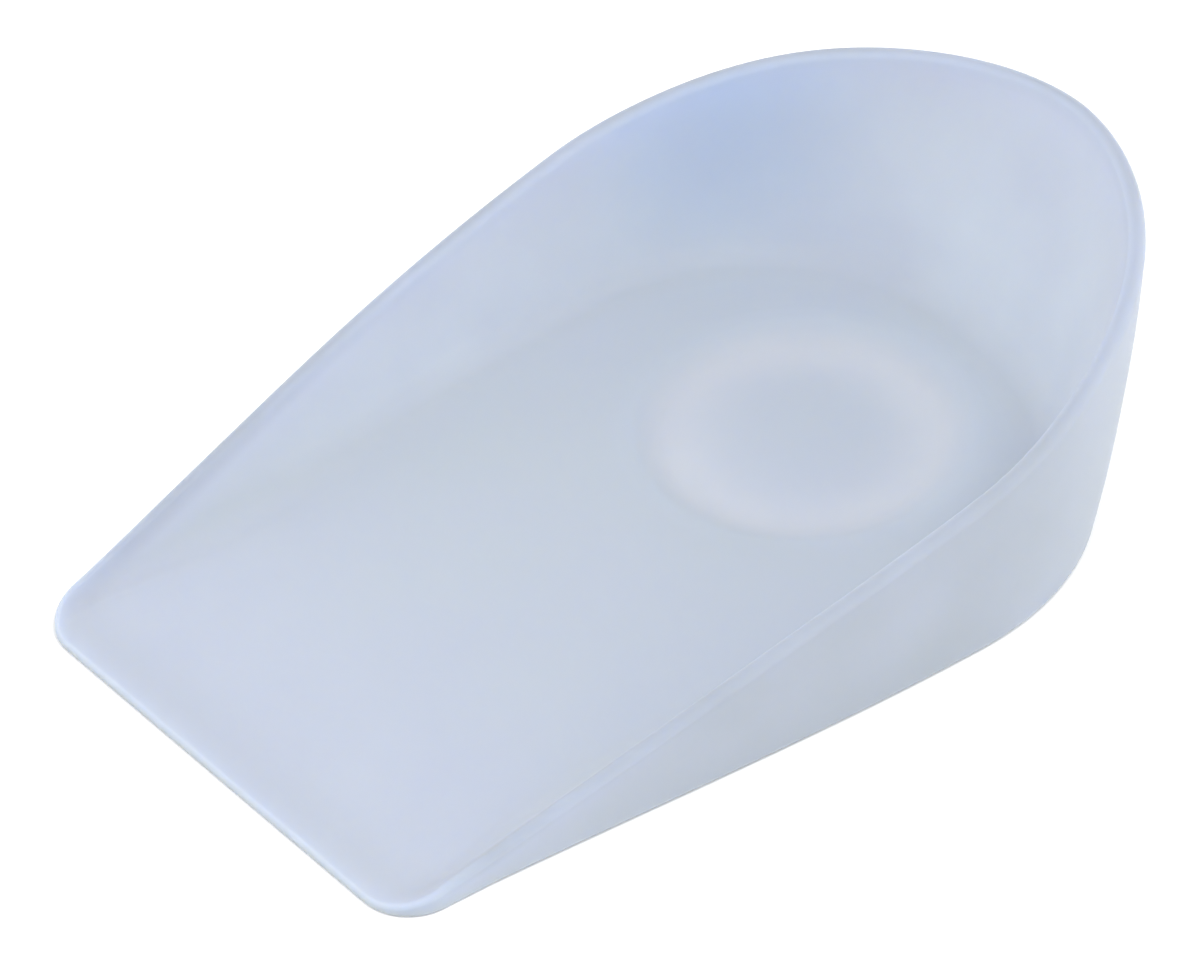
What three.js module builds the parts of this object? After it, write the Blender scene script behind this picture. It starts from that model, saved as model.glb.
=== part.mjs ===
// Heel cushion: a heel cup moulded in one piece from soft translucent silicone.
// It lies on its flat underside, with the thin front edge towards -Y, the heel towards +Y
// and the open top towards +Z. The origin is under the middle of its length and width.
// Sizes are millimetres.
import * as THREE from 'three';

// Overall sizes
const LENGTH = 105; // from the front edge to the back of the rim
const FRONT_HALF_WIDTH = 28.4; // half of the straight front edge, corners included
const CORNER_RADIUS = 5.5; // front corners, seen from above

// The two outlines seen from above. Each leaves the front corner, widens to halfWidth at widestAt,
// and closes round the heel at heelEnd. Distances along the length are taken from the front edge.
// flare is the sideways slope just behind the corner, and roundness 2 would be a true ellipse.
const BASE_OUTLINE = { halfWidth: 31.9, widestAt: 66, heelEnd: 95.6, flare: 0.05, roundness: 2.15 };
const RIM_OUTLINE = { halfWidth: 33.2, widestAt: 66.5, heelEnd: LENGTH, flare: 0.1, roundness: 1.85 };

// Cross-sections along the length:
// at     distance from the front edge
// rim    height of the rim
// floor  thickness of the floor in the middle
// lip    thickness of the wall at its rounded rim
// foot   distance from the base outline in to where floor and wall meet
const SECTIONS = [
  { at: 0, rim: 1.0, floor: 1.0, lip: 1.0, foot: 2.2 },
  { at: 6, rim: 2.6, floor: 1.4, lip: 1.2, foot: 2.4 },
  { at: 20, rim: 6.9, floor: 2.6, lip: 1.5, foot: 4.2 },
  { at: 45, rim: 14.3, floor: 4.3, lip: 1.7, foot: 4.6 },
  { at: 75, rim: 21.5, floor: 4.6, lip: 1.8, foot: 4.6 },
  { at: 90, rim: 24.8, floor: 4.6, lip: 1.8, foot: 4.6 },
  { at: LENGTH, rim: 26.5, floor: 4.6, lip: 1.8, foot: 4.6 },
];

// Soft spot under the heel bone: a ring groove round a low dome.
// Each row is one ring, with dip its depth below the floor.
const SPOT_FROM_FRONT = 70.3;
const SPOT_RINGS = [
  { radius: 0, dip: 0.1 },
  { radius: 2.5, dip: 0.13 },
  { radius: 5, dip: 0.28 },
  { radius: 7.5, dip: 0.58 },
  { radius: 10, dip: 0.96 },
  { radius: 12, dip: 1.18 },
  { radius: 13.5, dip: 1.12 },
  { radius: 15, dip: 0.62 },
  { radius: 16.2, dip: 0.18 },
  { radius: 17.5, dip: 0 },
];

const BULGE = 0.5; // how far the outer wall swells at half height where it is tallest
const FILLET_REACH = 3; // the fillet between floor and wall reaches this far along both
const FILLET_SHARE = 0.5; // most of the wall's length that the fillet may take
const EDGE_ROUND = 1; // round between the underside and the outer wall
const EDGE_SHARE = 0.25; // most of the wall's height that the edge round may take

// How finely each stretch of half an outline is divided, from the middle of the front to the heel
const STRETCHES = [
  { name: 'front', steps: 6 },
  { name: 'corner', steps: 5 },
  { name: 'side', steps: 15 },
  { name: 'heel', steps: 19 },
];
const FLOOR_SHARES = [0.2, 0.4, 0.6, 0.8]; // rings from the soft spot out to the fillet
const FILLET_STEPS = 4; // steps along the fillet
const WALL_SHARES = [0.35, 0.7, 1]; // rings from the fillet up to the lip
const LIP_SHARES = [0.2, 0.4, 0.6, 0.8, 1]; // rings over the lip, from inside to outside
const OUTSIDE_SHARES = [0.25, 0.5, 0.75, 1]; // rings from the lip down to the edge round
const EDGE_ANGLES = [45, 90]; // round the lower edge, down to the underside

const radians = THREE.MathUtils.degToRad;
const up = new THREE.Vector3(0, 0, 1);

// A smooth function of one column of a table against another
function smoothColumn(table, across, column) {
  const places = table.map((row) => row[across]);
  const values = table.map((row) => row[column]);
  const curve = new THREE.CubicInterpolant(places, values, 1);
  return (place) => curve.evaluate(place)[0];
}

const rimHeight = smoothColumn(SECTIONS, 'at', 'rim');
const floorThickness = smoothColumn(SECTIONS, 'at', 'floor');
const lipThickness = smoothColumn(SECTIONS, 'at', 'lip');
const footInset = smoothColumn(SECTIONS, 'at', 'foot');
const spotDip = smoothColumn(SPOT_RINGS, 'radius', 'dip');

const spotCentre = new THREE.Vector3(0, SPOT_FROM_FRONT);
const spotReach = SPOT_RINGS.at(-1).radius;

// One point of half an outline: share runs from 0 to 1 along the named stretch
function outlinePoint(outline, stretch, share) {
  const cornerX = FRONT_HALF_WIDTH - CORNER_RADIUS;
  if (stretch === 'front') {
    return new THREE.Vector3(cornerX * share, 0);
  }
  if (stretch === 'corner') {
    const turn = radians(90) * (share - 1);
    const x = cornerX + CORNER_RADIUS * Math.cos(turn);
    return new THREE.Vector3(x, CORNER_RADIUS * (1 + Math.sin(turn)));
  }
  if (stretch === 'side') {
    const run = outline.widestAt - CORNER_RADIUS;
    const widening = share * share * (3 - 2 * share);
    const flaring = share * (1 - share) * (1 - share) * run * outline.flare;
    const x = THREE.MathUtils.lerp(FRONT_HALF_WIDTH, outline.halfWidth, widening) + flaring;
    return new THREE.Vector3(x, CORNER_RADIUS + run * share);
  }
  const turn = radians(90) * share;
  const power = 2 / outline.roundness;
  const x = outline.halfWidth * Math.max(Math.cos(turn), 0) ** power;
  const reach = outline.heelEnd - outline.widestAt;
  return new THREE.Vector3(x, outline.widestAt + reach * Math.sin(turn) ** power);
}

// A whole outline, counter-clockwise seen from above, starting in the middle of the front
function outlineLoop(outline) {
  const half = STRETCHES.flatMap(({ name, steps }) =>
    Array.from({ length: steps }, (_, step) => outlinePoint(outline, name, step / steps)),
  );
  const heelPoint = new THREE.Vector3(0, outline.heelEnd);
  const mirrored = half.slice(1).reverse().map((point) => new THREE.Vector3(-point.x, point.y));
  return [...half, heelPoint, ...mirrored];
}

// The direction straight out of a loop at each of its points
function outwardNormals(loop) {
  return loop.map((_, index) => {
    const before = loop.at(index - 1);
    const after = loop[(index + 1) % loop.length];
    return new THREE.Vector3(after.y - before.y, before.x - after.x).normalize();
  });
}

// The same point, lifted from the base to the top of the floor
function onFloor(point) {
  const distance = Math.hypot(point.x - spotCentre.x, point.y - spotCentre.y);
  const dip = distance < spotReach ? spotDip(distance) : 0;
  return point.clone().setZ(floorThickness(point.y) - dip);
}

// The rounded lip at one station, an arc whose angles start inside the wall and grow over the top
function lipAt(rim, outward) {
  const height = rimHeight(rim.y);
  const radius = lipThickness(rim.y) / 2;
  const centre = rim.clone().addScaledVector(outward, -radius).setZ(height - radius);
  const pointAt = (angle) => {
    const point = centre.clone().addScaledVector(outward, -radius * Math.cos(angle));
    return point.addScaledVector(up, radius * Math.sin(angle));
  };
  // Where a straight line from a point touches the arc
  const touchedFrom = (point) => {
    const across = centre.clone().sub(point).dot(outward);
    const above = point.z - centre.z;
    const bearing = Math.atan2(above, across);
    const spread = Math.acos(radius / Math.hypot(across, above));
    return { inside: bearing + spread, outside: bearing - spread + radians(360) };
  };
  return { height, pointAt, touchedFrom };
}

// All points of the cushion's skin at one station of the outline,
// from beside the middle of the soft spot, over the floor, wall and lip, to the underside
function skinAtStation(base, rim, outward) {
  const lip = lipAt(rim, outward);
  const edge = Math.min(EDGE_ROUND, EDGE_SHARE * lip.height);
  const edgeTop = base.clone().setZ(edge);
  const foot = onFloor(base.clone().addScaledVector(outward, -footInset(base.y)));
  const lipStart = lip.touchedFrom(foot).inside;
  const lipEnd = lip.touchedFrom(edgeTop).outside;
  const wallTop = lip.pointAt(lipStart);
  const outsideTop = lip.pointAt(lipEnd);

  const wallLength = foot.distanceTo(wallTop);
  const filletReach = Math.min(FILLET_REACH, FILLET_SHARE * wallLength);
  const filletStart = onFloor(foot.clone().addScaledVector(outward, -filletReach));
  const filletEnd = foot.clone().lerp(wallTop, filletReach / wallLength);
  const fillet = new THREE.QuadraticBezierCurve3(filletStart, foot, filletEnd);

  const fromSpot = filletStart.clone().setZ(0).sub(spotCentre).normalize();
  const spotEdge = spotCentre.clone().addScaledVector(fromSpot, spotReach);
  const swell = BULGE * THREE.MathUtils.inverseLerp(rimHeight(0), rimHeight(LENGTH), lip.height);

  return [
    ...SPOT_RINGS.slice(1).map(({ radius }) => onFloor(spotCentre.clone().addScaledVector(fromSpot, radius))),
    ...FLOOR_SHARES.map((share) => onFloor(spotEdge.clone().lerp(filletStart, share))),
    ...fillet.getPoints(FILLET_STEPS),
    ...WALL_SHARES.map((share) => filletEnd.clone().lerp(wallTop, share)),
    ...LIP_SHARES.map((share) => lip.pointAt(THREE.MathUtils.lerp(lipStart, lipEnd, share))),
    ...OUTSIDE_SHARES.map((share) => {
      const bulge = 4 * share * (1 - share) * swell;
      return outsideTop.clone().lerp(edgeTop, share).addScaledVector(outward, bulge);
    }),
    ...EDGE_ANGLES.map((angle) => {
      const point = base.clone().addScaledVector(outward, edge * (Math.cos(radians(angle)) - 1));
      return point.setZ(edge * (1 - Math.sin(radians(angle))));
    }),
  ];
}

// A closed body from strings of points, one per station, that all start near top and end near bottom
function closedBody(skins, top, bottom) {
  const rings = skins[0].length;
  const points = [top, bottom, ...skins.flat()];
  const corner = (station, ring) => 2 + (station % skins.length) * rings + ring;
  const triangles = [];
  for (let station = 0; station < skins.length; station += 1) {
    const next = station + 1;
    triangles.push(0, corner(station, 0), corner(next, 0));
    for (let ring = 0; ring < rings - 1; ring += 1) {
      const outer = ring + 1;
      triangles.push(corner(station, ring), corner(station, outer), corner(next, outer));
      triangles.push(corner(station, ring), corner(next, outer), corner(next, ring));
    }
    triangles.push(1, corner(next, rings - 1), corner(station, rings - 1));
  }
  const geometry = new THREE.BufferGeometry().setFromPoints(points);
  geometry.setIndex(triangles);
  geometry.computeVertexNormals();
  return geometry;
}

function heelCushion() {
  const base = outlineLoop(BASE_OUTLINE);
  const rim = outlineLoop(RIM_OUTLINE);
  const outward = outwardNormals(base);
  const skins = base.map((point, station) => skinAtStation(point, rim[station], outward[station]));
  const top = onFloor(spotCentre);
  const bottom = new THREE.Vector3(0, LENGTH / 2);
  const silicone = new THREE.MeshStandardMaterial({ color: '#c5cede', roughness: 0.42, metalness: 0 });
  const cushion = new THREE.Mesh(closedBody(skins, top, bottom), silicone);
  cushion.name = 'heel_cushion';
  cushion.position.y = -LENGTH / 2;
  return cushion;
}

const group = new THREE.Group();
group.add(heelCushion());

export default group;
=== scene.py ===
# %% [markdown]
# # A heel cushion of translucent silicone
# A heel cushion lies in a shoe under the heel. It is one soft moulding: a thin straight front edge,
# a floor that thickens towards the heel, and a wall that rises from the front corners and wraps
# round the back. This lesson draws it as one smooth closed skin, gives it a finish that lets light
# in as silicone does, and sets it on a pale studio floor.
#
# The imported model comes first. It is the frame that every later size is taken from.

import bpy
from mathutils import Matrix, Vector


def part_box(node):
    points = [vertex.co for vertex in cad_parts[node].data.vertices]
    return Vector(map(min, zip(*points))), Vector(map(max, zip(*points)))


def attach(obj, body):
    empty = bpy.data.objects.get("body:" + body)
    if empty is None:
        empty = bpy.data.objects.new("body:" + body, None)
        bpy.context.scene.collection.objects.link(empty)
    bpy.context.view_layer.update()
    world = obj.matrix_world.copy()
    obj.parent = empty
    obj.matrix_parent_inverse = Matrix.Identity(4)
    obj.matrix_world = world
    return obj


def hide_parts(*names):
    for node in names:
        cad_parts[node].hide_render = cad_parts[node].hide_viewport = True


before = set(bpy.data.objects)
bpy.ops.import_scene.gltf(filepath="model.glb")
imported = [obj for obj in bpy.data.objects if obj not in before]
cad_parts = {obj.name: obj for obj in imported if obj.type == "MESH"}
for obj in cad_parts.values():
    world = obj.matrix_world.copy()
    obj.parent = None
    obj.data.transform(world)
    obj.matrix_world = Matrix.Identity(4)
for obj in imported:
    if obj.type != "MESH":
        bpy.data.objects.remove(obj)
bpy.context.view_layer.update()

# %% [markdown]
# ## Driving sizes
# The cushion could be scaled by eye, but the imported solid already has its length, width and height,
# so those three come from its box. What the box can't tell, such as the width of the front edge, is
# written here in millimetres. Distances along the length start at the front edge.

# %% Driving sizes
import math

import bpy
import numpy as np
from mathutils import Matrix, Vector, noise
from mathutils.bvhtree import BVHTree

MM = 0.001  # a millimetre in Blender's metres

solid_low, solid_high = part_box("heel_cushion")
WIDTH, LENGTH, HEIGHT = ((high - low) / MM for low, high in zip(solid_low, solid_high))
FRONT = np.array([0, solid_low[1] / MM])  # the middle of the front edge, seen from above

FRONT_HALF_WIDTH = 28.4  # half of the straight front edge, corners included
CORNER_RADIUS = 5.5  # front corners, seen from above
BULGE = 0.5  # how far the outer wall swells at half height where it is tallest

print(f"cushion {LENGTH:.1f} mm long, {WIDTH:.1f} mm wide, {HEIGHT:.1f} mm tall")

# %% [markdown]
# ## Heights and thicknesses along the length
# Cut across at any place, the cushion has a rim height, a floor thickness, a lip thickness and a foot,
# which is how far in from the outside the floor turns up into the wall. A mould maker would draw a few
# such cross-sections and blend between them. A cubic that leaves each section with the mean slope of
# its two neighbours does the same, with no kink where the sections meet.

# %% Smooth curves through the cross-sections
# distance from the front edge, then rim height, floor, lip and foot there
SECTIONS = np.array([
    (0, 1.0, 1.0, 1.0, 2.2),
    (6, 2.6, 1.4, 1.2, 2.4),
    (20, 6.9, 2.6, 1.5, 4.2),
    (45, 14.3, 4.3, 1.7, 4.6),
    (75, 21.5, 4.6, 1.8, 4.6),
    (90, 24.8, 4.6, 1.8, 4.6),
    (LENGTH, HEIGHT, 4.6, 1.8, 4.6),
])


def smooth_curve(places, values):
    """A smooth function through a few places and their values."""
    secants = np.diff(values) / np.diff(places)
    slopes = np.concatenate([secants[:1], (secants[:-1] + secants[1:]) / 2, secants[-1:]])

    def curve(place):
        place = np.clip(place, places[0], places[-1])
        left = np.clip(np.searchsorted(places, place, side="right") - 1, 0, len(places) - 2)
        run = places[left + 1] - places[left]
        share = (place - places[left]) / run
        rest = 1 - share
        from_left = rest * rest * (values[left] * (1 + 2 * share) + slopes[left] * run * share)
        from_right = share * share * (values[left + 1] * (3 - 2 * share) - slopes[left + 1] * run * rest)
        return from_left + from_right

    return curve


stations_at, *columns = SECTIONS.T
rim_height, floor_thickness, lip_thickness, foot_inset = (smooth_curve(stations_at, c) for c in columns)
print(f"half way along, the rim is {float(rim_height(LENGTH / 2)):.1f} mm high")

# %% [markdown]
# ## Two outlines
# Seen from above, the cushion stands on a base outline, and its rim follows a slightly larger one that
# leans back over the heel. Both leave the same front corners, widen gently along the sides and close
# round the heel in a superellipse, which is an ellipse whose roundness can be set. Formulas keep the
# curves clean at any density, where a traced outline would show its points.

# %% Base and rim outlines
FRONT_STEPS, CORNER_STEPS, SIDE_STEPS, HEEL_STEPS = 14, 12, 36, 44
FULL_TURN = 2 * math.pi
QUARTER_TURN = math.pi / 2


def half_outline(half_width, widest_at, heel_end, flare, roundness):
    """Half an outline, from the middle of the front edge round to the middle of the heel."""
    corner_x = FRONT_HALF_WIDTH - CORNER_RADIUS
    share = np.arange(FRONT_STEPS) / FRONT_STEPS
    front = np.column_stack([corner_x * share, np.zeros(FRONT_STEPS)])

    turn = QUARTER_TURN * (np.arange(CORNER_STEPS) / CORNER_STEPS - 1)
    corner = np.column_stack([corner_x + CORNER_RADIUS * np.cos(turn), CORNER_RADIUS * (1 + np.sin(turn))])

    share = np.arange(SIDE_STEPS) / SIDE_STEPS
    run = widest_at - CORNER_RADIUS
    widening = (half_width - FRONT_HALF_WIDTH) * share**2 * (3 - 2 * share)
    flaring = share * (1 - share) ** 2 * run * flare
    side = np.column_stack([FRONT_HALF_WIDTH + widening + flaring, CORNER_RADIUS + run * share])

    turn = QUARTER_TURN * np.arange(HEEL_STEPS + 1) / HEEL_STEPS
    power = 2 / roundness
    across = half_width * np.clip(np.cos(turn), 0, 1) ** power
    heel = np.column_stack([across, widest_at + (heel_end - widest_at) * np.sin(turn) ** power])
    return np.concatenate([front, corner, side, heel])


def whole_outline(half):
    """Both halves, counter-clockwise seen from above."""
    mirrored = half[-2:0:-1] * (-1, 1)
    return np.concatenate([half, mirrored])


base_half = half_outline(half_width=31.9, widest_at=66, heel_end=95.6, flare=0.05, roundness=2.15)
rim_half = half_outline(half_width=WIDTH / 2, widest_at=66.5, heel_end=LENGTH, flare=0.1, roundness=1.85)
base = whole_outline(base_half)
rim = whole_outline(rim_half)

along = np.roll(base, -1, axis=0) - np.roll(base, 1, axis=0)
outward = np.column_stack([along[:, 1], -along[:, 0]])
outward /= np.linalg.norm(outward, axis=1, keepdims=True)
print(len(base), "stations round the outline")

# %% [markdown]
# ## The floor and its soft spot
# Under the heel bone the floor has a soft spot: a shallow ring groove round a low dome, where the
# silicone is thinner and gives way more easily. It could be cut with a boolean, but then its edge
# would be sharp. Here the floor's height simply dips with the distance from the middle of the spot,
# so groove, dome and floor run into each other as they do in the mould.

# %% Floor height with the soft spot
SPOT_CENTRE = np.array([0, 70.3])
# distance from the middle of the spot, then how far the floor dips there
SPOT_RINGS = np.array([
    (0, 0.1), (2.5, 0.13), (5, 0.28), (7.5, 0.58), (10, 0.96),
    (12, 1.18), (13.5, 1.12), (15, 0.62), (16.2, 0.18), (17.5, 0),
])
SPOT_REACH = SPOT_RINGS[-1, 0]
GROOVE_RADIUS, GROOVE_DEPTH = SPOT_RINGS[SPOT_RINGS[:, 1].argmax()]
spot_dip = smooth_curve(*SPOT_RINGS.T)


def floor_height(points):
    distance = np.linalg.norm(points - SPOT_CENTRE, axis=-1)
    return floor_thickness(points[..., 1]) - spot_dip(distance)


groove_floor = float(floor_height(SPOT_CENTRE + (GROOVE_RADIUS, 0)))
print(f"thinnest silicone in the groove: {groove_floor:.2f} mm")

# %% [markdown]
# ## The lip and the wall
# The skin is drawn as rings that all have one point at each station of the outline. A sculpted block
# could look alike, but rings keep the lip's thickness and the flat underside exactly where the solid
# has them. The lip comes first, because the wall hangs on it. At each station the lip is an arc, and
# the wall is the straight line from its foot that just touches this arc, so that the two join without
# a crease. At the front there is no wall: the same line lies flat there, and the floor runs out into
# the rounded edge.

# %% The lip's arc and the lines that touch it
EDGE_ROUND = 1  # round between the underside and the outer wall
EDGE_SHARE = 0.25  # most of the wall's height that the edge round may take

height = rim_height(rim[:, 1])
lip_radius = lip_thickness(rim[:, 1]) / 2
lip_centre = rim - outward * lip_radius[:, None]
lip_level = height - lip_radius


def raised(points, levels):
    """Points seen from above, lifted to these levels."""
    return np.column_stack([points, np.broadcast_to(levels, len(points))])


def on_floor(points):
    return raised(points, floor_height(points))


def on_lip(angle):
    """Points of the lip's arc. Angles start inside the wall and grow over the top."""
    points = lip_centre - outward * (lip_radius * np.cos(angle))[:, None]
    return raised(points, lip_level + lip_radius * np.sin(angle))


def seen_from_lip(points):
    """The angle at which points lie from the arc's middle, and how far to either side their lines touch."""
    across = ((lip_centre - points[:, :2]) * outward).sum(axis=1)
    above = points[:, 2] - lip_level
    return np.arctan2(above, across), np.arccos(lip_radius / np.hypot(across, above))


foot = on_floor(base - outward * foot_inset(base[:, 1])[:, None])
foot_angle, foot_spread = seen_from_lip(foot)
lip_start = foot_angle + foot_spread
wall_top = on_lip(lip_start)

edge = np.minimum(EDGE_ROUND, EDGE_SHARE * height)
edge_top = raised(base, edge)
edge_angle, edge_spread = seen_from_lip(edge_top)
lip_end = edge_angle - edge_spread + FULL_TURN
outside_top = on_lip(lip_end)

lip_turn = np.degrees(lip_end - lip_start)
print(f"the lip turns through {lip_turn.min():.0f} degrees at least and {lip_turn.max():.0f} at most")

# %% [markdown]
# ## Rings over the skin
# The rings start round the middle of the soft spot, cross the floor, climb the inside of the wall, go
# over the lip and down the outside, and end under the cushion. Between floor and wall lies a soft
# fillet. A bevel could round that edge later, but a curve that leaves the floor and runs into the wall
# is as short to write and stays smooth where the wall fades out at the front.

# %% Rings from the soft spot to the lip
SPOT_STEPS, FLOOR_STEPS, FILLET_STEPS, WALL_STEPS = 36, 14, 10, 20
FILLET_REACH = 3  # the fillet between floor and wall reaches this far along both
FILLET_SHARE = 0.5  # most of the wall's length that the fillet may take
LEAST_STEP_SHARE = 0.3  # spokes crowd together at the front corners; this share of an even step is kept


def between(start, end, share):
    return start + (end - start) * np.reshape(share, (-1, 1))


wall_length = np.linalg.norm(wall_top - foot, axis=1)
fillet_reach = np.minimum(FILLET_REACH, FILLET_SHARE * wall_length)
floor_end = foot[:, :2] - outward * fillet_reach[:, None]
fillet_start = on_floor(floor_end)
fillet_end = between(foot, wall_top, fillet_reach / wall_length)

bearing = np.unwrap(np.arctan2(*(floor_end - SPOT_CENTRE).T[::-1]))
steps = np.diff(bearing, append=bearing[0] + FULL_TURN)
steps = np.maximum(steps, LEAST_STEP_SHARE * FULL_TURN / len(steps))
bearing = bearing[0] + np.cumsum(np.append(0, steps[:-1])) * FULL_TURN / steps.sum()
from_spot = np.column_stack([np.cos(bearing), np.sin(bearing)])
spot_edge = SPOT_CENTRE + from_spot * SPOT_REACH

rings = []
for radius in np.linspace(0, SPOT_REACH, SPOT_STEPS + 1)[1:]:
    rings.append(on_floor(SPOT_CENTRE + from_spot * radius))
for share in np.linspace(0, 1, FLOOR_STEPS + 1)[1:-1]:
    rings.append(on_floor(between(spot_edge, floor_end, share)))
for share in np.linspace(0, 1, FILLET_STEPS + 1):
    along_floor = between(fillet_start, foot, share)
    up_wall = between(foot, fillet_end, share)
    rings.append(between(along_floor, up_wall, share))
for share in np.linspace(0, 1, WALL_STEPS + 1)[1:]:
    rings.append(between(fillet_end, wall_top, share))

print(len(rings), "rings from the soft spot to the lip")

# %% Rings over the lip, down the outside and under the cushion
LIP_STEPS, OUTSIDE_STEPS, EDGE_STEPS = 14, 15, 5
UNDER_SHARES = (0.03, 0.12, 0.3, 0.55, 0.8)  # rings on the underside, from its edge to its middle
UNDER_MIDDLE = np.array([0, LENGTH / 2])

for share in np.linspace(0, 1, LIP_STEPS + 1)[1:]:
    rings.append(on_lip(lip_start + (lip_end - lip_start) * share))

swell = BULGE * (height - height.min()) / (height.max() - height.min())
for share in np.linspace(0, 1, OUTSIDE_STEPS + 1)[1:]:
    bulge = outward * (4 * share * (1 - share) * swell)[:, None]
    rings.append(between(outside_top, edge_top, share) + raised(bulge, 0))

for angle in np.linspace(0, QUARTER_TURN, EDGE_STEPS + 1)[1:]:
    points = base + outward * (edge * (math.cos(angle) - 1))[:, None]
    rings.append(raised(points, edge * (1 - math.sin(angle))))

under_edge = rings[-1][:, :2]
for share in UNDER_SHARES:
    rings.append(raised(between(under_edge, UNDER_MIDDLE, share), 0))

print(len(rings), "rings in all")

# %% [markdown]
# ## One closed mesh
# Neighbouring rings are joined by four-sided faces, and a fan closes the skin at the middle of the soft
# spot and at the middle of the underside. The mesh has to be closed, because the finish sends light into
# the silicone and needs to know where it comes out again.

# %% Join the rings into a mesh
def closed_skin(name, rings, top, bottom):
    """A smooth closed mesh over the rings, with top inside the first one and bottom inside the last."""
    count = len(rings[0])
    points = np.concatenate([[top, bottom], *rings])
    points[:, :2] += FRONT
    first = 2 + count * np.arange(len(rings))  # the rings' points follow the two middles
    here = np.arange(count)
    after = np.roll(here, -1)
    faces = [(0, first[0] + a, first[0] + b) for a, b in zip(here, after)]
    for inner, outer in zip(first, first[1:]):
        faces += zip(inner + here, outer + here, outer + after, inner + after)
    faces += [(1, first[-1] + b, first[-1] + a) for a, b in zip(here, after)]
    mesh = bpy.data.meshes.new(name)
    mesh.from_pydata((points * MM).tolist(), [], [tuple(map(int, face)) for face in faces])
    mesh.shade_smooth()
    return mesh


spot_top = (*SPOT_CENTRE, float(floor_height(SPOT_CENTRE)))
skin = closed_skin("cushion_skin", rings, spot_top, (*UNDER_MIDDLE, 0))
cushion = bpy.data.objects.new("cushion_moulding", skin)
bpy.context.collection.objects.link(cushion)
print(len(skin.vertices), "points and", len(skin.polygons), "faces")

# %% [markdown]
# ## The slight waviness of soft rubber
# Soft silicone never lies perfectly true: it relaxes after it leaves the mould, and its surface goes
# gently up and down by a few hundredths of a millimetre. A bump map would shade that but leave the form
# itself too true, so the points are moved along their normals. The wave fades out towards the lip and
# the underside, so the cushion keeps its size and still lies flat.

# %% Move the skin by a slow wave
WAVE_LENGTH = 11.0  # millimetres from crest to crest
WAVE_HEIGHT = 0.07  # the most that a point moves, in millimetres
CALM_BELOW = 1.0  # no wave on the underside, up to this height
CALM_UNDER_RIM = 2.0  # the wave grows to full height this far under the top of the wall

places = np.array([vertex.co for vertex in skin.vertices]) / MM
normals = np.array([vertex.normal for vertex in skin.vertices])
wave = np.array([noise.noise(Vector(place / WAVE_LENGTH)) for place in places])
from_front = places[:, :2] - FRONT
rim_above = rim_height(from_front[:, 1])
under_rim = rim_above - places[:, 2]
calm = np.clip(places[:, 2] - CALM_BELOW, 0, 1) * np.clip(under_rim / CALM_UNDER_RIM, 0, 1)
moved = (places + normals * (wave * calm * WAVE_HEIGHT)[:, None]) * MM
skin.vertices.foreach_set("co", moved.ravel())
skin.update()
print(f"the wave moves points by up to {np.abs(wave * calm).max() * WAVE_HEIGHT:.3f} mm")

# %% [markdown]
# ## How thick the silicone is under each point
# Thin silicone looks paler than thick silicone, because less of it stands between the eye and the light
# behind. The finish can't know that by itself, so the thickness is measured: a ray goes straight in from
# each point and stops where it meets the far side. The result is kept on the points as an attribute.

# %% Measure the thickness at each point
START_INSIDE = 0.02 * MM  # the ray starts just under the skin
THICKEST = 6.0  # rays along a wall are cut off at this thickness

skin_faces = BVHTree.FromPolygons(
    [vertex.co for vertex in skin.vertices],
    [tuple(face.vertices) for face in skin.polygons],
)
thickness = []
for vertex in skin.vertices:
    hit = skin_faces.ray_cast(vertex.co - vertex.normal * START_INSIDE, -vertex.normal)[3]
    thickness.append(THICKEST if hit is None else min(hit / MM, THICKEST))
skin.attributes.new("thickness_mm", "FLOAT", "POINT").data.foreach_set("value", thickness)
print(f"thickness from {min(thickness):.2f} to {max(thickness):.2f} mm, mean {np.mean(thickness):.2f} mm")

# %% [markdown]
# ## Which side of the wall a point is on
# In the cup, light goes to and fro between the walls, and milky silicone throws back blue light better
# than red. So the inside of the wall looks paler and bluer than the outside, and the colours paint that in:
# painted light on the inside, painted shade on the outside. Two groups of faces could tell the sides apart,
# but they would meet in a hard line. A second attribute does it gently: it compares a point's normal with
# the way out from a line along the middle of the floor, and is about -1 on the inside of the wall, 0 on the
# floor and 1 on the outside.

# %% Measure the side of the wall
MIDDLE_START = 55.0  # the middle line runs from here, in millimetres, to the middle of the soft spot
NO_WALL, FULL_WALL = 1.2, 4.0  # rim heights where the wall's look starts and is complete
EDGE_SIDE = 0.65  # share of it that the front edge has, where there is no wall
TINY = 1e-6  # keeps points on the middle line from being divided by nothing

middle = np.zeros_like(from_front)
middle[:, 1] = np.clip(from_front[:, 1], MIDDLE_START, SPOT_CENTRE[1])
way_out = from_front - middle
way_out /= np.maximum(np.linalg.norm(way_out, axis=1), TINY)[:, None]
walled = np.clip((rim_above - NO_WALL) / (FULL_WALL - NO_WALL), 0, 1)
wall_side = (normals[:, :2] * way_out).sum(axis=1)
wall_side *= EDGE_SIDE + (1 - EDGE_SIDE) * walled
skin.attributes.new("wall_side", "FLOAT", "POINT").data.foreach_set("value", wall_side)
print(f"wall side from {wall_side.min():.2f} to {wall_side.max():.2f}")

# %% [markdown]
# ## Where the lip is
# The lip catches more light than the floor, yet light leaves the thin silicone on every side there, so it
# is given painted shade to look no brighter than the floor. The lip could be a piece of its own, but on the
# moulding it has no edge. So a third attribute says where the lip is and how much painted shade it gets. It
# fades out down the wall, sooner on the inside, and towards the front, where there is no wall left.

# %% Measure the lip
LIP_FULL, LIP_GONE = 0.3, 1.4  # the lip's look is whole down to the first depth and gone at the second
INSIDE_LOSS = 0.75  # share of the lip's look that is lost on the inside of the wall

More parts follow.
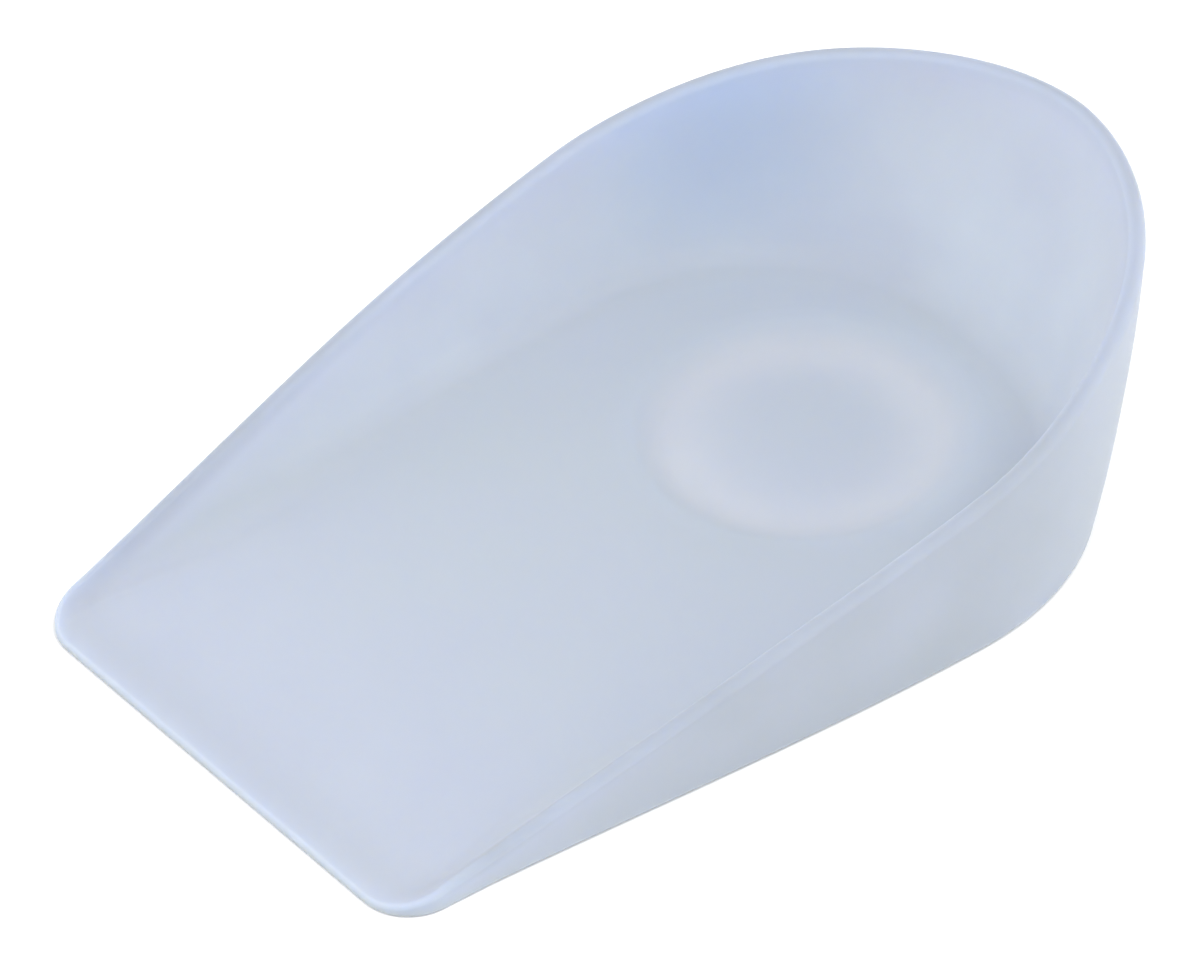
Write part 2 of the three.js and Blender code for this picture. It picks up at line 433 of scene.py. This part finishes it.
lip_shade_share = np.clip((LIP_GONE - under_rim) / (LIP_GONE - LIP_FULL), 0, 1)
lip_shade_share *= walled
lip_shade_share *= 1 - INSIDE_LOSS * np.clip(-wall_side, 0, 1)
skin.attributes.new("lip_shade_share", "FLOAT", "POINT").data.foreach_set("value", lip_shade_share)
print(np.count_nonzero(lip_shade_share), "points on the lip")

# %% [markdown]
# ## Where the groove is
# In the groove the silicone is thinner than round about, and the white paper under the cushion shines
# through it a little more. The thickness alone changes too slowly to draw that pale ring. So a fourth
# attribute follows the depth of the groove and gathers at its deepest part.

# %% Measure the groove
GROOVE_FALL = 1.5  # above 1, the groove's look falls off faster than its depth

from_spot_middle = np.linalg.norm(from_front - SPOT_CENTRE, axis=1)
groove_share = (spot_dip(from_spot_middle) / GROOVE_DEPTH) ** GROOVE_FALL
groove_share[places[:, 2] < CALM_BELOW] = 0  # the underside has no groove
skin.attributes.new("groove_share", "FLOAT", "POINT").data.foreach_set("value", groove_share)
print(np.count_nonzero(groove_share), "points in the soft spot")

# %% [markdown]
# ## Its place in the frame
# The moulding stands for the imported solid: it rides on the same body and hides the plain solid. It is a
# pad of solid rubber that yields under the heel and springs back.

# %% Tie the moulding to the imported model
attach(cushion, "root")
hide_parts("heel_cushion")
print("the moulding rides on root and replaces heel_cushion")

# %% [markdown]
# ## Helpers for finishes
# Colours are easiest to read as the hex values that a picture editor shows, but Blender mixes light in
# linear numbers, so one function turns the first into the second. Another adds a node with its settings
# and links, so that each finish below reads as a short list of nodes. The last starts a material with no
# nodes, so that it holds only what the lesson puts there.

# %% Colour and node helpers
def linear(hex_colour):
    """An sRGB hex colour as linear red, green, blue and alpha."""
    channels = [int(hex_colour[i : i + 2], 16) / 255 for i in (1, 3, 5)]
    return *(c / 12.92 if c <= 0.04045 else ((c + 0.055) / 1.055) ** 2.4 for c in channels), 1.0


def add_node(tree, kind, settings=None, values=None, links=None):
    """A node of this kind, with its settings, the values of its sockets and what is linked to them."""
    node = tree.nodes.new(kind)
    for name, setting in (settings or {}).items():
        setattr(node, name, setting)
    for socket, value in (values or {}).items():
        node.inputs[socket].default_value = value
    for socket, source in (links or {}).items():
        tree.links.new(source, node.inputs[socket])
    return node


def new_material(name):
    material = bpy.data.materials.new(name)
    material.use_nodes = True
    material.node_tree.nodes.clear()
    return material


print(f"mid grey, #808080, is {linear('#808080')[0]:.3f} in linear numbers")

# %% [markdown]
# ## Translucent silicone
# The real cushion is cast from soft translucent silicone in a finely dulled mould. To the eye that gives
# a milky pale blue with no hard shade, because light wanders inside the rubber and comes out elsewhere,
# and only a faint sheen. One colour all over would look like plastic. Here the colour follows the measured
# thickness, with light and shade painted in: the thin front is palest, painted light where the paper under
# it shines through, and the thick floor is greyer. The inner corner between floor and wall, thickest of
# all, gets a touch of painted shade. The groove is pale again, with painted light as well.

# %% Silicone colour on the floor
silicone = new_material("translucent_moulded_silicone")
tree = silicone.node_tree

THIN, LIP, FULL, CORNER = 1.0, 1.8, 4.7, 5.9  # thickness of front edge, lip, floor and inner corner, mm
# the thin colour and the groove colour are painted light from the paper shining through; the corner colour
# is painted shade in the crease
THIN_FLOOR, FULL_FLOOR, CORNER_SHADE_FLOOR = "#adb4c3", "#a9b1bb", "#a8b0bb"
PALE_GROOVE = "#b6bbc4"

object_place = add_node(tree, "ShaderNodeTexCoord")
thick = add_node(tree, "ShaderNodeAttribute", settings={"attribute_name": "thickness_mm"})
thick_share = add_node(
    tree,
    "ShaderNodeMapRange",
    values={"From Max": THICKEST},
    links={"Value": thick.outputs["Fac"]},
)
floor_colour = add_node(tree, "ShaderNodeValToRGB", links={"Fac": thick_share.outputs[0]})
ramp = floor_colour.color_ramp
ramp.interpolation = "EASE"
ramp.elements[0].position = THIN / THICKEST
ramp.elements[0].color = linear(THIN_FLOOR)
ramp.elements[1].position = FULL / THICKEST
ramp.elements[1].color = linear(FULL_FLOOR)
ramp.elements.new(CORNER / THICKEST).color = linear(CORNER_SHADE_FLOOR)
groove = add_node(tree, "ShaderNodeAttribute", settings={"attribute_name": "groove_share"})
with_groove = add_node(
    tree,
    "ShaderNodeMix",
    settings={"data_type": "RGBA"},
    values={"B": linear(PALE_GROOVE)},
    links={"Factor": groove.outputs["Fac"], "A": floor_colour.outputs["Color"]},
)
print("floor colours from thin to thick:", THIN_FLOOR, FULL_FLOOR, CORNER_SHADE_FLOOR)

# %% [markdown]
# ## Silicone on the wall
# The inside of the wall gets painted light, paler and bluer than the floor, the outside painted shade,
# greyer, and the lip painted shade, greyer still. One broad patch in the left of the heel's wall gets
# bluish painted shade. Separate materials would meet in hard lines. So the colours are laid over each other
# by the attributes measured above, first the inside, then the bluish shade, the outside and the lip.

# %% Painted light inside the wall, with painted shade at the lip and in the corner
GROOVE_SLOPE, WALL_SLOPE = 0.35, 0.9  # wall sides of the groove's flanks and of a full wall
# painted light on the inside of the wall, paler and bluer; painted shade makes it a little darker at the
# thin lip and in the corner
LIT_INSIDE_AT_LIP, LIT_INSIDE_FULL, LIT_INSIDE_SHADED_CORNER = "#b2b9c4", "#b9c1cc", "#b6bec9"

side = add_node(tree, "ShaderNodeAttribute", settings={"attribute_name": "wall_side"})
inside_light_share = add_node(
    tree,
    "ShaderNodeMapRange",
    values={"From Min": -GROOVE_SLOPE, "From Max": -WALL_SLOPE},
    links={"Value": side.outputs["Fac"]},
)
inside_light_colour = add_node(tree, "ShaderNodeValToRGB", links={"Fac": thick_share.outputs[0]})
ramp = inside_light_colour.color_ramp
ramp.elements[0].position = LIP / THICKEST
ramp.elements[0].color = linear(LIT_INSIDE_AT_LIP)
ramp.elements[1].position = FULL / THICKEST
ramp.elements[1].color = linear(LIT_INSIDE_FULL)
ramp.elements.new(CORNER / THICKEST).color = linear(LIT_INSIDE_SHADED_CORNER)
with_inside_light = add_node(
    tree,
    "ShaderNodeMix",
    settings={"data_type": "RGBA"},
    links={
        "Factor": inside_light_share.outputs[0],
        "A": with_groove.outputs["Result"],
        "B": inside_light_colour.outputs["Color"],
    },
)
print("wall colours inside, from thin to thick:", LIT_INSIDE_AT_LIP, LIT_INSIDE_FULL, LIT_INSIDE_SHADED_CORNER)

# %% Painted shade: the bluish patch, the outside and the lip
# painted shade laid over the wall: a bluish patch in the left of the heel's wall, the greyer outside and
# the greyer lip
PAINTED_BLUISH_SHADE, PAINTED_OUTSIDE_SHADE, PAINTED_LIP_SHADE = "#a7b6cc", "#9aa1aa", "#979ca2"
BLUISH_SHADE_CENTRE = Vector((-26, 29, 20)) * MM  # the middle of the bluish painted shade
BLUISH_SHADE_REACH = 20 * MM

from_bluish_shade = add_node(
    tree,
    "ShaderNodeVectorMath",
    settings={"operation": "DISTANCE"},
    values={1: BLUISH_SHADE_CENTRE},
    links={0: object_place.outputs["Object"]},
)
bluish_shade_share = add_node(
    tree,
    "ShaderNodeMapRange",
    settings={"interpolation_type": "SMOOTHSTEP"},
    values={"From Max": BLUISH_SHADE_REACH, "To Min": 1.0, "To Max": 0.0},
    links={"Value": from_bluish_shade.outputs["Value"]},
)
# painted shade on the outside of the wall
outside_shade_share = add_node(
    tree,
    "ShaderNodeMapRange",
    values={"From Min": GROOVE_SLOPE, "From Max": WALL_SLOPE},
    links={"Value": side.outputs["Fac"]},
)
# painted shade on the lip
lip_shade_mask = add_node(tree, "ShaderNodeAttribute", settings={"attribute_name": "lip_shade_share"})

# lay the three painted shades over the wall colour, the last on top
layered = with_inside_light
for layer_colour, layer_share in (
    (PAINTED_BLUISH_SHADE, bluish_shade_share.outputs[0]),
    (PAINTED_OUTSIDE_SHADE, outside_shade_share.outputs[0]),
    (PAINTED_LIP_SHADE, lip_shade_mask.outputs["Fac"]),
):
    layered = add_node(
        tree,
        "ShaderNodeMix",
        settings={"data_type": "RGBA"},
        values={"B": linear(layer_colour)},
        links={"Factor": layer_share, "A": layered.outputs["Result"]},
    )
print("laid over the wall, the last on top:", PAINTED_BLUISH_SHADE, PAINTED_OUTSIDE_SHADE, PAINTED_LIP_SHADE)

# %% [markdown]
# ## Milky clouds
# Silicone is stirred together from two parts before it is cast, and the last of the stirring stays as
# faint clouds. A painted image could show them, but it would have to be unwrapped onto the skin. Noise in
# the cushion's own space needs no unwrapping and goes round every edge without a seam.

# %% Milky clouds in the silicone
CLOUD_SIZE = 14 * MM  # the clouds are about this wide
CLOUD_LOW, CLOUD_HIGH = 0.3, 0.7  # the noise hardly leaves these bounds
CLOUD_SHARE = 0.4  # the most that a cloud changes the colour
CLOUD = "#a6adbf"

clouds = add_node(
    tree,
    "ShaderNodeTexNoise",
    values={"Scale": 1 / CLOUD_SIZE, "Detail": 3.0, "Roughness": 0.45},
    links={"Vector": object_place.outputs["Object"]},
)
cloud_share = add_node(
    tree,
    "ShaderNodeMapRange",
    values={"From Min": CLOUD_LOW, "From Max": CLOUD_HIGH, "To Max": CLOUD_SHARE},
    links={"Value": clouds.outputs["Fac"]},
)
colour = add_node(
    tree,
    "ShaderNodeMix",
    settings={"data_type": "RGBA"},
    values={"B": linear(CLOUD)},
    links={"Factor": cloud_share.outputs[0], "A": layered.outputs["Result"]},
)
print(f"clouds about {CLOUD_SIZE / MM:.0f} mm wide")

# %% [markdown]
# ## The silicone's surface
# A clear, refracting shader could let light through too, but milky silicone shows nothing sharp behind
# it. Light that goes in, wanders a few millimetres and comes out again is what the eye sees, and that is
# subsurface scattering. Blue is let wander furthest, which tints the thin rim and edge. Silicone's IOR is
# about 1.41. The dulled skin gives back less gloss than a polished one, so the specular level is lowered,
# and the sheen is a little rougher in the clouds.

# %% Silicone surface
GRAIN = 0.5 * MM  # the mould's dullness is finer still; this is as fine as the picture shows
GRAIN_DEPTH = 0.02 * MM
SMOOTHEST, ROUGHEST = 0.58, 0.68  # roughness between the clouds and in them
SCATTER = 2.2 * MM  # how far light wanders in the silicone
COLOUR_REACH = (0.8, 1.0, 1.5)  # share of it for red, green and blue light

grain = add_node(
    tree,
    "ShaderNodeTexNoise",
    values={"Scale": 1 / GRAIN, "Detail": 2.0},
    links={"Vector": object_place.outputs["Object"]},
)
satin = add_node(
    tree,
    "ShaderNodeBump",
    values={"Strength": 0.08, "Distance": GRAIN_DEPTH},
    links={"Height": grain.outputs["Fac"]},
)
shine = add_node(
    tree,
    "ShaderNodeMapRange",
    values={"From Min": CLOUD_LOW, "From Max": CLOUD_HIGH, "To Min": SMOOTHEST, "To Max": ROUGHEST},
    links={"Value": clouds.outputs["Fac"]},
)
shader = add_node(
    tree,
    "ShaderNodeBsdfPrincipled",
    values={
        "IOR": 1.41,
        "Specular IOR Level": 0.35,
        "Subsurface Weight": 1.0,
        "Subsurface Radius": COLOUR_REACH,
        "Subsurface Scale": SCATTER,
    },
    links={
        "Base Color": colour.outputs["Result"],
        "Roughness": shine.outputs[0],
        "Normal": satin.outputs["Normal"],
    },
)
add_node(tree, "ShaderNodeOutputMaterial", links={"Surface": shader.outputs["BSDF"]})
skin.materials.append(silicone)
print(silicone.name, "has", len(tree.nodes), "nodes")

# %% [markdown]
# ## The studio
# The cushion is shown on a pale sweep of matt paper, so bright that it has almost no shadow. One large
# sheet is enough; it reaches far past the picture so that no edge shows from other sides.

# %% Floor
FLOOR_HALF = 3.0  # metres

paper = new_material("matt_white_paper")
sheet = add_node(
    paper.node_tree,
    "ShaderNodeBsdfPrincipled",
    values={"Base Color": linear("#f6f6f5"), "Roughness": 0.9, "Specular IOR Level": 0.2},
)
add_node(paper.node_tree, "ShaderNodeOutputMaterial", links={"Surface": sheet.outputs["BSDF"]})

floor_mesh = bpy.data.meshes.new("paper_floor")
corners = [(-1, -1), (1, -1), (1, 1), (-1, 1)]
floor_mesh.from_pydata([(x * FLOOR_HALF, y * FLOOR_HALF, 0) for x, y in corners], [], [(0, 1, 2, 3)])
floor_mesh.materials.append(paper)
floor = bpy.data.objects.new("paper_floor", floor_mesh)
bpy.context.collection.objects.link(floor)
print("floor", 2 * FLOOR_HALF, "m square")

# %% [markdown]
# ## Light
# A white surround lights everything evenly, and four soft lamps stand round the cushion: one above it, one
# before the front edge, and two low ones behind the heel and on the left. One strong lamp would be simpler,
# but its shadow would show. Here each lamp fills the shadow of the others, so the paper stays white in the
# main view, and the inside of the wall gets its light from the side that it faces.

# %% World and lamps
SURROUND = 0.8  # strength of the white surround
LAMP_SIZE = 0.5  # metres

scene = bpy.context.scene
scene.view_settings.view_transform = "Standard"

world = bpy.data.worlds.new("white_surround")
world.use_nodes = True
world.node_tree.nodes["Background"].inputs["Color"].default_value = linear("#ffffff")
world.node_tree.nodes["Background"].inputs["Strength"].default_value = SURROUND
scene.world = world


def soft_lamp(name, place, power):
    """A square lamp that faces the cushion. Place is in metres, power in watts."""
    lamp = bpy.data.lights.new(name, "AREA")
    lamp.size = LAMP_SIZE
    lamp.energy = power
    stand = bpy.data.objects.new(name, lamp)
    stand.location = place
    stand.rotation_euler = Vector(place).to_track_quat("Z", "Y").to_euler()
    stand.visible_camera = False
    bpy.context.collection.objects.link(stand)


soft_lamp("top_softbox", place=(0.45, 0.1, 1.0), power=5.2)
soft_lamp("front_softbox", place=(0.3, -0.75, 0.6), power=4.1)
soft_lamp("heel_softbox", place=(0.5, 0.8, 0.3), power=3.6)
soft_lamp("left_softbox", place=(-0.85, -0.5, 0.3), power=2.2)

# %% [markdown]
# ## Camera
# The picture is taken from above the right of the front edge, with a long lens, so the cushion's edges
# hardly run together. A camera could be placed by hand and turned until it looks right. Here the view is
# an azimuth, an elevation and a slight roll about an aim point in the cushion, and the camera slides
# sideways until that point falls on its pixel. The same numbers then give the same picture every time.

# %% Camera
AZIMUTH, ELEVATION, ROLL = (math.radians(a) for a in (52.78, 40.85, 1.45))
DISTANCE = 1.927  # metres from the aim point
SCALE = 10.609  # pixels to a millimetre at the aim point
PICTURE = (1199, 960)  # pixels
AIM = Vector((0, 0, 8)) * MM
AIM_PIXEL = (654.27, 478.55)  # where the aim point falls in the picture
SENSOR = 36.0  # width in millimetres

back = Vector((
    math.sin(AZIMUTH) * math.cos(ELEVATION),
    -math.cos(AZIMUTH) * math.cos(ELEVATION),
    math.sin(ELEVATION),
))
level = Vector((math.cos(AZIMUTH), math.sin(AZIMUTH), 0))
upright = back.cross(level)
right = level * math.cos(ROLL) - upright * math.sin(ROLL)
up = level * math.sin(ROLL) + upright * math.cos(ROLL)

camera = bpy.data.objects.new("camera", bpy.data.cameras.new("camera"))
camera.data.sensor_width = SENSOR
camera.data.lens = SCALE / MM * DISTANCE * SENSOR / PICTURE[0]
sideways = (AIM_PIXEL[0] - PICTURE[0] / 2) / SCALE * MM
upwards = (PICTURE[1] / 2 - AIM_PIXEL[1]) / SCALE * MM
place = AIM + back * DISTANCE - right * sideways - up * upwards
camera.matrix_world = Matrix.Translation(place) @ Matrix((right, up, back)).transposed().to_4x4()
bpy.context.collection.objects.link(camera)
scene.camera = camera
print(f"lens {camera.data.lens:.0f} mm, {DISTANCE:.2f} m away")
